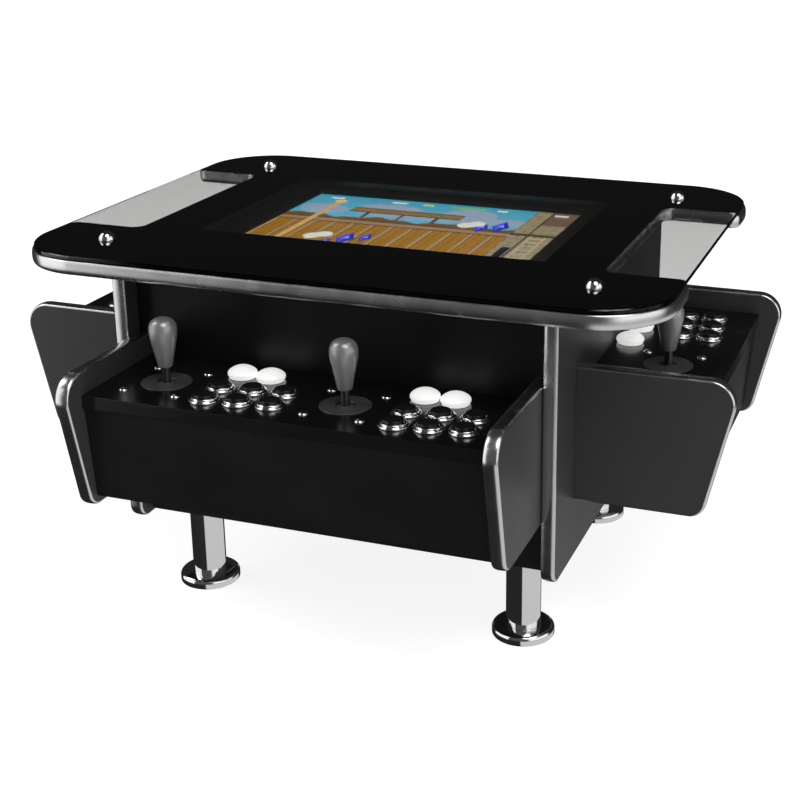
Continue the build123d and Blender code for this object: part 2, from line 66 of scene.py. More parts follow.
# ---- sizes of the design, in millimetres ----------------------------------------------------------
NOSE = 3.5
NOSE_FULLNESS = 2.5
NOSE_STEPS = 22
MOULDING_H = 18.6
PANEL_CORNER_R = 16.5
FIT_GAP = 0.3
BOARD_T = 18.0
TONGUE_DEPTH = 9.0
TONGUE_T = 2.4
TABLE_CORNER_R = 100.0
NOTCH_FACE_X = 333.0
NOTCH_FRONT_Y = -172.0
NOTCH_REAR_Y = 186.0
NOTCH_CORNER_R = 18.0
HORN_R = 13.0
BOLT_SPACING = {1: (74.5, 85.2), 2: (74.5, 85.2), 3: (85.2, 74.5), 4: (85.2, 74.5)}
CHEEK_BOTTOM_REACH = 169.0
CHEEK_TOP_REACH = 212.6
CHEEK_TOP_R = 33.0
CHEEK_BOTTOM_R = 22.0
FOOT_R = 43.0
FOOT_H = 15.0
LEG_R = 24.0
LEG_WALL = 2.0
LEG_THREAD = 12.0
CAP_R = 11.9
LID_T = 18.0
PIVOT_DEPTH = 24.0
SHAFT_R = 5.6
PICTURE = (426.0, 296.0)
PIXEL = 1.6
NUT_SEGMENTS = 48

# ---- the view: metres from the middle of the glass (height from the floor), degrees and millimetres ---
CAMERA_OFFSET = (0.7642, -1.8910, 1.0312)
CAMERA_TILT = 71.21
CAMERA_TURN = 19.15
CAMERA_LENS = 65.87
CAMERA_SHIFT = (-0.098, -0.081)


def islands(node):
    """Lowest and highest corner of each separate solid in a CAD node."""
    mesh = nodes[node].data
    spots = np.empty(len(mesh.vertices) * 3)
    mesh.vertices.foreach_get("co", spots)
    spots = spots.reshape(-1, 3)
    _, merged = np.unique(np.round(spots, 5), axis=0, return_inverse=True)
    merged = merged.ravel()
    edges = np.empty(len(mesh.edges) * 2, dtype=int)
    mesh.edges.foreach_get("vertices", edges)
    edges = merged[edges].reshape(-1, 2)
    group = np.arange(merged.max() + 1)
    while True:
        lowest = np.minimum(group[edges[:, 0]], group[edges[:, 1]])
        before = group.copy()
        np.minimum.at(group, edges[:, 0], lowest)
        np.minimum.at(group, edges[:, 1], lowest)
        group = group[group]
        if (group == before).all():
            break
    owner = group[merged]
    return [(Vector(spots[owner == k].min(0)), Vector(spots[owner == k].max(0))) for k in np.unique(owner)]


def station(number):
    """Frame of a player's place: origin at the joystick on top of the lid, x to the player's right."""
    joint = JOINTS[f"stick_{number}_away_towards"]
    x, y, _ = joint["axis"]
    pivot = joint["pos_m"]
    return Matrix(((x, -y, 0, pivot[0]), (y, x, 0, pivot[1]), (0, 0, 1, LID_TOP), (0, 0, 0, 1)))


def over(node):
    """Where a button's axis meets the top of the lid."""
    low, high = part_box(node)
    return Matrix.Translation(((low.x + high.x) / 2, (low.y + high.y) / 2, LID_TOP))


# ---- node material helpers ------------------------------------------------------------------------
class Graph:
    """A material's node tree with short calls for the nodes used here."""

    def __init__(self, name):
        self.material = bpy.data.materials.new(name)
        self.material.use_nodes = True
        self.tree = self.material.node_tree
        self.surface = self.tree.nodes["Principled BSDF"]
        self.place = self.tree.nodes.new("ShaderNodeTexCoord").outputs["Object"]

    def node(self, kind, **settings):
        made = self.tree.nodes.new(kind)
        for key, value in settings.items():
            setattr(made, key, value)
        return made

    def link(self, source, target):
        self.tree.links.new(source, target)

    def stretched(self, x, y, z):
        """Object coordinates scaled along each axis."""
        mapping = self.node("ShaderNodeMapping")
        mapping.inputs["Scale"].default_value = (x, y, z)
        self.link(self.place, mapping.inputs["Vector"])
        return mapping.outputs["Vector"]

    def noise(self, scale, detail=3.0, roughness=0.55, vector=None):
        made = self.node("ShaderNodeTexNoise")
        made.inputs["Scale"].default_value = scale
        made.inputs["Detail"].default_value = detail
        made.inputs["Roughness"].default_value = roughness
        self.link(vector or self.place, made.inputs["Vector"])
        return made.outputs["Fac"]

    def cells(self, scale, vector=None, feature="F1"):
        made = self.node("ShaderNodeTexVoronoi", feature=feature)
        made.inputs["Scale"].default_value = scale
        self.link(vector or self.place, made.inputs["Vector"])
        return made.outputs["Distance"]

    def spread(self, value, low, high, start=0.3, end=0.7):
        """Value from start to end becomes low to high."""
        made = self.node("ShaderNodeMapRange")
        for key, number in (("From Min", start), ("From Max", end), ("To Min", low), ("To Max", high)):
            made.inputs[key].default_value = number
        self.link(value, made.inputs["Value"])
        return made.outputs["Result"]

    def math(self, operation, first, second):
        made = self.node("ShaderNodeMath", operation=operation)
        for socket, value in zip(made.inputs, (first, second)):
            if isinstance(value, (int, float)):
                socket.default_value = value
            else:
                self.link(value, socket)
        return made.outputs["Value"]

    def blend(self, first, first_share, second, second_share):
        """Weighted sum of two values."""
        return self.math("ADD", self.math("MULTIPLY", first, first_share),
                         self.math("MULTIPLY", second, second_share))

    def colours(self, value, low, high):
        """Mixes two colours by value."""
        made = self.node("ShaderNodeMix", data_type="RGBA")
        made.inputs[6].default_value = (*low, 1)
        made.inputs[7].default_value = (*high, 1)
        self.link(value, made.inputs["Factor"])
        return made.outputs[2]

    def colour(self, source):
        self.link(source, self.surface.inputs["Base Color"])

    def rough(self, source):
        self.link(source, self.surface.inputs["Roughness"])

    def bump(self, height, distance, strength=1.0):
        made = self.node("ShaderNodeBump")
        made.inputs["Strength"].default_value = strength
        made.inputs["Distance"].default_value = distance
        self.link(height, made.inputs["Height"])
        self.link(made.outputs["Normal"], self.surface.inputs["Normal"])

    def set(self, **values):
        for key, value in values.items():
            self.surface.inputs[key.replace("_", " ")].default_value = value


# ---- materials ------------------------------------------------------------------------------------
def chrome():
    g = Graph("chrome")
    g.set(Metallic=1.0)
    smudge = g.noise(35, 4)
    streaks = g.noise(420, 2, vector=g.stretched(1, 1, 0.12))
    g.colour(g.colours(smudge, (0.80, 0.80, 0.81), (0.88, 0.88, 0.88)))
    g.rough(g.spread(g.blend(smudge, 0.7, streaks, 0.3), 0.045, 0.10))
    g.bump(streaks, 0.000004)
    return g.material


def satin_chrome():
    """The plated edge moulding: softer than the tubes, so that it shows wide pale bands."""
    g = Graph("satin_chrome")
    g.set(Metallic=1.0)
    smudge = g.noise(28, 4)
    g.colour(g.colours(smudge, (0.74, 0.74, 0.75), (0.84, 0.84, 0.84)))
    g.rough(g.spread(smudge, 0.20, 0.29))
    g.bump(g.noise(600, 2), 0.000006)
    return g.material


def black_gloss():
    """Black gloss laminate: near mirror with a faint orange peel and wiping marks."""
    g = Graph("black_gloss")
    g.set(Specular_IOR_Level=0.5)
    marks = g.noise(9, 5, 0.6, g.stretched(1.0, 1.0, 2.5))
    fine = g.noise(260, 3)
    g.colour(g.colours(marks, (0.0035, 0.0035, 0.0038), (0.0065, 0.0065, 0.007)))
    g.rough(g.spread(g.blend(marks, 0.8, fine, 0.2), 0.13, 0.23))
    g.bump(g.noise(700, 2), 0.00002)
    return g.material


def wall_gloss():
    """The same black laminate on the upright boards, duller, so that it only holds blurred reflections."""
    g = Graph("wall_gloss")
    g.set(Specular_IOR_Level=0.3)
    marks = g.noise(7, 5, 0.6, g.stretched(1.0, 1.0, 1.6))
    g.colour(g.colours(marks, (0.0045, 0.0045, 0.0048), (0.0075, 0.0075, 0.0080)))
    g.rough(g.spread(marks, 0.32, 0.42))
    g.bump(g.noise(800, 2), 0.00002)
    return g.material


def grey_laminate():
    """Dark grey satin laminate with a very fine pebbled grain."""
    g = Graph("grey_laminate")
    g.set(Specular_IOR_Level=0.5)
    cloud = g.noise(6, 4)
    grain = g.noise(1500, 2)
    g.colour(g.colours(g.blend(cloud, 0.6, grain, 0.4), (0.030, 0.030, 0.031), (0.046, 0.046, 0.047)))
    g.rough(g.spread(cloud, 0.34, 0.44))
    g.bump(grain, 0.00003)
    return g.material


def clear_glass():
    g = Graph("clear_glass")
    g.set(Transmission_Weight=1.0, IOR=1.5)
    g.surface.inputs["Base Color"].default_value = (0.68, 0.68, 0.67, 1)
    g.rough(g.spread(g.noise(14, 4), 0.0, 0.012))
    return g.material


def bezel_plastic():
    g = Graph("bezel_plastic")
    grain = g.noise(1400, 2)
    g.colour(g.colours(grain, (0.004, 0.004, 0.004), (0.009, 0.009, 0.009)))
    g.rough(g.spread(g.noise(20, 3), 0.38, 0.5))
    g.bump(grain, 0.00003)
    return g.material


def bat_plastic():
    """Satin moulded handle, with a faint pebble and worn, smoother patches."""
    g = Graph("bat_plastic")
    g.set(Metallic=0.6)
    wear = g.noise(45, 4)
    grain = g.noise(1600, 2)
    g.colour(g.colours(wear, (0.30, 0.30, 0.305), (0.36, 0.36, 0.365)))
    g.rough(g.spread(wear, 0.28, 0.36))
    g.bump(grain, 0.00004)
    return g.material


def shaft_metal():
    g = Graph("shaft_metal")
    g.set(Metallic=1.0)
    rings = g.noise(900, 2, vector=g.stretched(0.05, 0.05, 1))
    g.colour(g.colours(rings, (0.10, 0.10, 0.105), (0.16, 0.16, 0.165)))
    g.rough(g.spread(rings, 0.30, 0.42))
    g.bump(rings, 0.00001)
    return g.material


def dust_plastic():
    g = Graph("dust_plastic")
    scuffs = g.noise(220, 3, vector=g.stretched(1, 0.2, 1))
    g.colour(g.colours(scuffs, (0.040, 0.040, 0.040), (0.060, 0.060, 0.060)))
    g.rough(g.spread(scuffs, 0.26, 0.38))
    g.bump(g.noise(1200, 2), 0.00002)
    return g.material


def black_button_plastic():
    g = Graph("black_button_plastic")
    touch = g.noise(120, 4)
    g.colour(g.colours(touch, (0.006, 0.006, 0.006), (0.012, 0.012, 0.012)))
    g.rough(g.spread(touch, 0.12, 0.24))
    g.bump(g.noise(900, 2), 0.00001)
    return g.material


def lit_dome_plastic():
    """Translucent white cap lit from below."""
    g = Graph("lit_dome_plastic")
    cloud = g.noise(70, 3)
    g.colour(g.colours(cloud, (0.80, 0.80, 0.80), (0.88, 0.88, 0.88)))
    g.rough(g.spread(cloud, 0.12, 0.2))
    g.set(Emission_Color=(1.0, 0.99, 0.97, 1), Emission_Strength=0.55)
    return g.material


def plated_steel():
    g = Graph("plated_steel")
    g.set(Metallic=1.0)
    spangle = g.cells(160)
    brush = g.noise(500, 3, vector=g.stretched(1, 0.06, 1))
    g.colour(g.colours(spangle, (0.42, 0.42, 0.43), (0.60, 0.60, 0.60)))
    g.rough(g.spread(brush, 0.28, 0.45))
    g.bump(brush, 0.00002)
    return g.material


def circuit_board():
    g = Graph("circuit_board")
    tracks = g.cells(900, g.stretched(1, 1, 0.2), "DISTANCE_TO_EDGE")
    g.colour(g.colours(g.spread(tracks, 0, 1, 0.0, 0.06), (0.03, 0.16, 0.06), (0.008, 0.055, 0.022)))
    g.rough(g.spread(g.noise(60, 3), 0.3, 0.5))
    g.bump(tracks, 0.00003)
    return g.material


def display_case():
    g = Graph("display_case")
    grain = g.noise(900, 3)
    g.colour(g.colours(grain, (0.012, 0.012, 0.013), (0.022, 0.022, 0.023)))
    g.rough(g.spread(grain, 0.35, 0.5))
    g.bump(grain, 0.00003)
    return g.material


def lit_picture():
    """The display's surface: the picture is in the mesh's colour attribute, with every fourth row of picture
    elements a little darker.
    """
    g = Graph("lit_picture")
    picture = g.node("ShaderNodeVertexColor", layer_name="picture").outputs["Color"]
    g.link(picture, g.surface.inputs["Base Color"])
    g.link(picture, g.surface.inputs["Emission Color"])
    g.set(Emission_Strength=2.1)
    g.rough(g.spread(g.noise(400, 2), 0.25, 0.35))
    return g.material


MATERIALS = {
    "chrome": chrome(), "satin_chrome": satin_chrome(), "black_gloss": black_gloss(),
    "wall_gloss": wall_gloss(),
    "grey_laminate": grey_laminate(), "glass": clear_glass(),
    "bezel": bezel_plastic(), "grey_bat": bat_plastic(), "shaft": shaft_metal(),
    "dust_plate": dust_plastic(),
    "black_button": black_button_plastic(), "white_dome": lit_dome_plastic(), "steel": plated_steel(),
    "circuit_board": circuit_board(), "display_case": display_case(), "display": lit_picture(),
}


# ---- mesh helpers ---------------------------------------------------------------------------------
def make_mesh(name, points, faces, sharp_degrees=38):
    mesh = bpy.data.meshes.new(name)
    mesh.from_pydata([tuple(p) for p in points], [], faces)
    mesh.update()
    mesh.shade_smooth()
    mesh.set_sharp_from_angle(angle=math.radians(sharp_degrees))
    return mesh


def add_piece(name, mesh, material, body, place=None, slot=None, replaces=()):
    """One visible piece in the row frame, riding on a body."""
    piece = bpy.data.objects.new(name, mesh)
    bpy.context.scene.collection.objects.link(piece)
    if not mesh.materials:
        mesh.materials.append(MATERIALS[material])
    if place is not None:
        piece.matrix_world = place
    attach(piece, body)
    slot or material
    if replaces:
        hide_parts(*replaces)
    return piece


def curve_through(points, steps=5):
    """Smooth outline through a few points (Catmull-Rom)."""
    ends = [points[0], *points, points[-1]]
    made = []
    for a, b, c, d in zip(ends, ends[1:], ends[2:], ends[3:]):
        for k in range(steps):
            t = k / steps
            made.append(tuple(
                0.5 * (2 * q + (r - p) * t + (2 * p - 5 * q + 4 * r - s) * t ** 2
                       + (3 * q - p - 3 * r + s) * t ** 3)
                for p, q, r, s in zip(a, b, c, d)))
    return made + [points[-1]]


def arc(centre_r, centre_z, radius, start, end, steps=8):
    """Points of an arc in the (r, z) plane, angles in degrees from +r towards +z."""
    made = []
    for k in range(steps + 1):
        a = math.radians(start + (end - start) * k / steps)
        made.append((centre_r + radius * math.cos(a), centre_z + radius * math.sin(a)))
    return made


def lathe(name, outline, segments=64, closed=False, sharp_degrees=38):
    """Solid of revolution about Z. The outline is in millimetres, (radius, height), from bottom to top on
    the outside; an open outline starts and ends on the axis, a closed one is a ring."""
    points, rings = [], []
    for r, z in outline:
        if r < 1e-6:
            rings.append([len(points)])
            points.append((0, 0, z * MM))
        else:
            rings.append(list(range(len(points), len(points) + segments)))
            for k in range(segments):
                a = 2 * math.pi * k / segments
                points.append((r * math.cos(a) * MM, r * math.sin(a) * MM, z * MM))
    pairs = list(zip(rings, rings[1:]))
    if closed:
        pairs.append((rings[-1], rings[0]))
    faces = []
    for low, high in pairs:
        for k in range(segments):
            n = (k + 1) % segments
            if len(low) == 1 and len(high) == 1:
                break
            if len(low) == 1:
                faces.append((low[0], high[n], high[k]))
            elif len(high) == 1:
                faces.append((low[k], low[n], high[0]))
            else:
                faces.append((low[k], low[n], high[n], high[k]))
    return make_mesh(name, points, faces, sharp_degrees)


def rounded_route(corners, closed, step_degrees=3.0):
    """Points and outward normals along a polygon with rounded corners, anticlockwise, each corner being
    (x, y, radius). The outside is on the right of the direction of travel."""
    count = len(corners)
    route = []
    for i, (x, y, radius) in enumerate(corners):
        here = Vector((x, y))
        if not closed and i in (0, count - 1):
            other = Vector(corners[1 if i == 0 else i - 1][:2])
            along = (other - here if i == 0 else here - other).normalized()
            route.append((here, Vector((along.y, -along.x))))
            continue
        before = (here - Vector(corners[i - 1][:2])).normalized()
        after = (Vector(corners[(i + 1) % count][:2]) - here).normalized()
        turn = math.atan2(before.x * after.y - before.y * after.x, before.dot(after))
        cut = radius * math.tan(abs(turn) / 2)
        side = 1 if turn > 0 else -1
        start_normal = Vector((before.y, -before.x))
        centre = here - before * cut - start_normal * radius * side
        steps = max(4, round(math.degrees(abs(turn)) / step_degrees))
        for k in range(steps + 1):
            a = turn * k / steps
            normal = Vector((start_normal.x * math.cos(a) - start_normal.y * math.sin(a),
                             start_normal.x * math.sin(a) + start_normal.y * math.cos(a)))
            route.append((centre + normal * radius * side, normal))
    return route


def moulding_section(height):
    """Crowned nose and tongue of a T moulding, (out, along the board's thickness) in millimetres."""
    half = height / 2
    nose = []
    for k in range(NOSE_STEPS + 1):
        a = -math.pi / 2 + math.pi * k / NOSE_STEPS
        out = NOSE * max(math.cos(a), 0.0) ** (2 / NOSE_FULLNESS)
        up = half * math.copysign(abs(math.sin(a)) ** (2 / NOSE_FULLNESS), math.sin(a))
        nose.append((out, up))
    half_tongue = TONGUE_T / 2
    tongue = [(0.0, half_tongue), (-TONGUE_DEPTH, half_tongue), (-TONGUE_DEPTH, -half_tongue),
              (0.0, -half_tongue)]
    return nose + tongue


def sweep_moulding(name, route, section, closed, to_space):
    """Mesh of a section carried along a route; to_space turns (x, y, height) in millimetres into a point."""
    points, faces = [], []
    size = len(section)
    for here, normal in route:
        for out, up in section:
            spot = here + normal * out
            points.append(to_space(spot.x, spot.y, up))
    spans = len(route) if closed else len(route) - 1
    for i in range(spans):
        a, b = i * size, (i + 1) % len(route) * size
        for k in range(size):
            n = (k + 1) % size
            faces.append((a + k, b + k, b + n, a + n))
    if not closed:
        last = (len(route) - 1) * size
        faces.append(tuple(range(size)))
        faces.append(tuple(reversed(range(last, last + size))))
    return make_mesh(name, points, faces, 50)


# ---- mouldings ------------------------------------------------------------------------------------
def table_moulding():
    half_x = BOARD_HIGH.x / MM
    half_y = (BOARD_HIGH.y - BOARD_LOW.y) / 2 / MM
    middle_y = (BOARD_HIGH.y + BOARD_LOW.y) / 2 / MM
    right = [(half_x, -half_y, TABLE_CORNER_R), (half_x, NOTCH_FRONT_Y, HORN_R),
             (NOTCH_FACE_X, NOTCH_FRONT_Y, NOTCH_CORNER_R), (NOTCH_FACE_X, NOTCH_REAR_Y, NOTCH_CORNER_R),
             (half_x, NOTCH_REAR_Y, HORN_R), (half_x, half_y, TABLE_CORNER_R)]
    left = [(-x, y, r) for x, y, r in reversed(right)]
    height = (TRIM_HIGH.z - TRIM_LOW.z) / MM
    middle_z = (TRIM_HIGH.z + TRIM_LOW.z) / 2

    def to_space(x, y, up):
        return (x * MM, (y + middle_y) * MM, middle_z + up * MM)

    mesh = sweep_moulding("table_moulding", rounded_route(right + left, True), moulding_section(height), True,
                          to_space)
    add_piece("table_moulding", mesh, "satin_chrome", "cabinet", slot="chrome", replaces=["tabletop_trim"])


def panel_mouldings():
    """Mouldings round the foot and both edges of the two end panels."""
    low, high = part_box("end_panels")
    middle_y = (low.y + high.y) / 2
    half_y = (high.y - low.y) / 2 / MM
    bottom, top = low.z / MM, high.z / MM
    corners = [(-half_y, top, 0), (-half_y, bottom, PANEL_CORNER_R), (half_y, bottom, PANEL_CORNER_R),
               (half_y, top, 0)]
    section = moulding_section(MOULDING_H)
    for side, x in (("left", low.x + BOARD_T / 2 * MM), ("right", high.x - BOARD_T / 2 * MM)):
        def to_space(y, z, up, x=x):
            return (x + up * MM, y * MM + middle_y, z * MM)
        mesh = sweep_moulding(f"end_moulding_{side}", rounded_route(corners, False), section, False, to_space)
        add_piece(f"end_moulding_{side}", mesh, "satin_chrome", "cabinet", slot="chrome",
                  replaces=["panel_trims"] if side == "left" else ())


def cheek_mouldings():
    """Mouldings round the three free edges of the six cheeks; each cheek's outline is its board's, in
    (distance out from the wall, height)."""
    section = moulding_section(MOULDING_H)
    for number, (low, high) in enumerate(islands("cheeks"), start=1):
        across = high - low
        bottom, top = low.z / MM, high.z / MM
        lean = (CHEEK_TOP_REACH - CHEEK_BOTTOM_REACH) / (top - bottom + 2 * NOSE)
        slope = math.hypot(1, lean)
        reach_low = CHEEK_BOTTOM_REACH + NOSE * (lean - slope)
        reach_high = CHEEK_TOP_REACH - NOSE * (lean + slope)
        corners = [(FIT_GAP, bottom, 0), (reach_low, bottom, CHEEK_BOTTOM_R - NOSE),
                   (reach_high, top, CHEEK_TOP_R - NOSE), (FIT_GAP, top, 0)]
        centre = (low + high) / 2
        front = across.x < across.y
        if front:
            wall, out = high.y + FIT_GAP * MM, -1
        else:
            out = 1 if centre.x > 0 else -1
            wall = (low.x if out > 0 else high.x) - FIT_GAP * MM * out

        def to_space(reach, height, up, front=front, wall=wall, out=out, centre=centre):
            if front:
                return (centre.x + up * MM, wall + out * reach * MM, height * MM)
            return (wall + out * reach * MM, centre.y + out * up * MM, height * MM)

        name = f"cheek_moulding_{number}"
        mesh = sweep_moulding(name, rounded_route(corners, False), section, False, to_space)
        add_piece(name, mesh, "satin_chrome", "cabinet", slot="chrome")


# ---- turned and moulded pieces --------------------------------------------------------------------
def joined(name, parts, sharp_degrees=38):
    """One mesh from several meshes."""
    points, faces = [], []
    for part in parts:
        base = len(points)
        points += [v.co.copy() for v in part.vertices]
        faces += [tuple(base + k for k in p.vertices) for p in part.polygons]
    return make_mesh(name, points, faces, sharp_degrees)


def hexagon_nut(name, across_flats, low, high, bore):
    """Nut with chamfered corners."""
    corner = across_flats / math.sqrt(3)
    flat = across_flats / 2
    points, faces, rings = [], [], []
    for z, inset in ((low, 0.7), (low + 0.5, 0), (high - 0.5, 0), (high, 0.7)):
        ring = []
        for k in range(NUT_SEGMENTS):
            a = 2 * math.pi * k / NUT_SEGMENTS
            fold = (a + math.pi / 6) % (math.pi / 3) - math.pi / 6
            r = min(flat / math.cos(fold), corner - inset)
            ring.append(len(points))
            points.append((r * math.cos(a) * MM, r * math.sin(a) * MM, z * MM))
        rings.append(ring)
    for z in (high, low):
        ring = []
        for k in range(NUT_SEGMENTS):
            a = 2 * math.pi * k / NUT_SEGMENTS
            ring.append(len(points))
            points.append((bore * math.cos(a) * MM, bore * math.sin(a) * MM, z * MM))
        rings.append(ring)
    for a, b in zip(rings, rings[1:] + rings[:1]):
        for k in range(NUT_SEGMENTS):
            n = (k + 1) % NUT_SEGMENTS
            faces.append((a[k], a[n], b[n], b[k]))
    return make_mesh(name, points, faces, 20)


def legs():
    feet = [((low + high) / 2) for low, high in islands("leg_feet")]
    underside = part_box("leg_tubes")[1].z / MM
    base_top = underside - LEG_THREAD
    base_low = base_top - BOARD_T
    bore = LEG_R - LEG_WALL
    foot = lathe("foot", [(0, 0), (FOOT_R - 1.5, 0), *arc(FOOT_R - 1.5, 1.5, 1.5, -90, 0, 5),
                          *arc(FOOT_R - 6, FOOT_H - 7, 6, 0, 78, 10), (LEG_R + 1.2, FOOT_H - 0.9),
                          (bore - 0.2, FOOT_H - 1), (bore - 0.2, FOOT_H + 20), (bore - 1.2, FOOT_H + 21),
                          (0, FOOT_H + 21)], 128, sharp_degrees=30)
    tube = lathe("leg_tube", [(bore, FOOT_H - 1), (LEG_R - 0.4, FOOT_H - 1), (LEG_R, FOOT_H - 0.6),
                              (LEG_R, base_low - 0.5), (LEG_R - 0.4, base_low - 0.1), (bore, base_low - 0.1)],
                 128, True, 30)
    stud = lathe("leg_stud", [(0, base_low - 22), (bore - 0.8, base_low - 22), (bore - 0.05, base_low - 21),
                              (bore - 0.05, base_low - 0.1), (5, base_low - 0.1), (5, underside - 0.8),
                              (4.2, underside), (0, underside)], 64)
    nut = hexagon_nut("leg_nut", 17, base_top, base_top + 8, 5.1)
    for number, spot in enumerate(feet, start=1):
        place = Matrix.Translation((spot.x, spot.y, 0))
        add_piece(f"foot_{number}", foot, "chrome", "cabinet", place,
                  replaces=["leg_feet"] if number == 1 else ())
        add_piece(f"leg_tube_{number}", tube, "chrome", "cabinet", place,
                  replaces=["leg_tubes"] if number == 1 else ())
        add_piece(f"leg_stud_{number}", stud, "steel", "cabinet", place)
        add_piece(f"leg_nut_{number}", nut, "steel", "cabinet", place)


def glass_caps():
    """Domed caps with their screws, and the nuts under the board."""
    low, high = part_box("glass_caps")
    glass_top = GLASS_HIGH.z / MM
    under = BOARD_LOW.z / MM - glass_top
    tall = high.z / MM - glass_top
    tip = low.z / MM - glass_top
    crown = [math.radians(4 + 5.375 * k) for k in range(16)]
    dome = lathe("glass_cap", [(0, tip), (2.4, tip), (3.0, tip + 0.6), (3.0, 0.0), (CAP_R - 0.5, 0.0),
                               *arc(CAP_R - 0.5, 0.4, 0.4, -90, 90, 6),
                               *[(11.5 * math.cos(a), tall * math.sin(a)) for a in crown], (0, tall)],
                 96, sharp_degrees=45)
    nut = hexagon_nut("glass_cap_nut", 13, under - 6, under, 3.1)
    x, y = high.x - CAP_R * MM, high.y - CAP_R * MM
    number = 0
    for spot_x in (low.x + CAP_R * MM, x):
        for spot_y in (low.y + CAP_R * MM, y):
            number += 1
            place = Matrix.Translation((spot_x, spot_y, GLASS_HIGH.z))
            add_piece(f"glass_cap_{number}", dome, "chrome", "cabinet", place,
                      replaces=["glass_caps"] if number == 1 else ())
            add_piece(f"glass_cap_nut_{number}", nut, "steel", "cabinet", place)


def joysticks():
    bat = lathe("bat", [(0, 22.3), (8.7, 22.3), *arc(8.7, 23.1, 0.8, -90, 0, 4),
                        *curve_through([(9.8, 24.3), (12.5, 38), (15.5, 53), (17.0, 60.5), (17.8, 65.5),
                                        (18.15, 70), (17.95, 74.5), (16.9, 78.7), (14.9, 82.1), (11.8, 84.9),
                                        (8.1, 86.6), (4.1, 87.5), (0.0, 87.75)], 4)], 96, sharp_degrees=50)
    hub_low, hub_high = -PIVOT_DEPTH - 5, -PIVOT_DEPTH + 5
    shaft = lathe("shaft", [(0, -62), (3.2, -62), (4.0, -61.2), (4.0, hub_low), (7.6, hub_low),
                            (7.6, hub_high), (SHAFT_R, hub_high), (SHAFT_R, 23.2), (0, 23.2)], 64)
    pivot_pins = lathe("pivot_pins", [(0, -14.5), (1.6, -14.5), (2.0, -14.1), (2.0, 14.1), (1.6, 14.5),
                                      (0, 14.5)], 32)
    pivot_pins.transform(Matrix.Translation((0, 0, -PIVOT_DEPTH * MM))
                         @ Matrix.Rotation(math.pi / 2, 4, "X"))
    shaft = joined("shaft_and_pins", [shaft, pivot_pins])
    outer, inner, open_angle = 26.0, 24.4, 50
    cap = lathe("dust_cap", [*arc(0, -PIVOT_DEPTH, outer, open_angle, 76.5, 14),
                             *arc(0, -PIVOT_DEPTH, inner, 76.0, open_angle, 14)], 96, True, 50)
    actuator = lathe("actuator", [(4.05, -62), (6.9, -62), (7.5, -61.4), (7.5, -54.6), (6.9, -54),
                                  (4.05, -54)], 48, True)
    plate = lathe("dust_plate", [(12, 0), (32.6, 0), *arc(32.6, 0.4, 0.4, -90, 0, 3),
                                 *arc(32.2, 0.5, 0.7, 0, 90, 6), (12.5, 1.2), (12, 0.7)], 128, True, 40)
    head = lathe("bolt", [(0, -28), (2.5, -28), (3.0, -27.5), (3.0, 0), (6.0, 0), (6.2, 0.3),
                          *curve_through([(6.1, 0.7), (5.2, 1.9), (3.5, 2.8), (1.7, 3.2), (0, 3.3)], 4)], 64)
    nut = hexagon_nut("bolt_nut", 10, -LID_T - 7.5, -LID_T - 2.5, 3.05)
    for number in STATIONS:
        place = station(number)
        body = f"stick_{number}"
        add_piece(f"bat_{number}", bat, "grey_bat", body, place, replaces=[body])
        add_piece(f"shaft_{number}", shaft, "shaft", body, place, slot="steel")
        add_piece(f"dust_cap_{number}", cap, "dust_plate", body, place)
        add_piece(f"actuator_{number}", actuator, "black_button", body, place)
        add_piece(f"dust_plate_{number}", plate, "dust_plate", "cabinet", place,
                  replaces=["dust_plates"] if number == 1 else ())
        count = 0
        half_x, half_y = (spacing / 2 for spacing in BOLT_SPACING[number])
        for x in (-half_x, half_x):
            for y in (-half_y, half_y):
                count += 1
                spot = place @ Matrix.Translation((x * MM, y * MM, 0))
                add_piece(f"bolt_{number}_{count}", head, "chrome", "cabinet", spot,
                          replaces=["carriage_bolts"] if number == count == 1 else ())
                add_piece(f"bolt_nut_{number}_{count}", nut, "steel", "cabinet", spot)


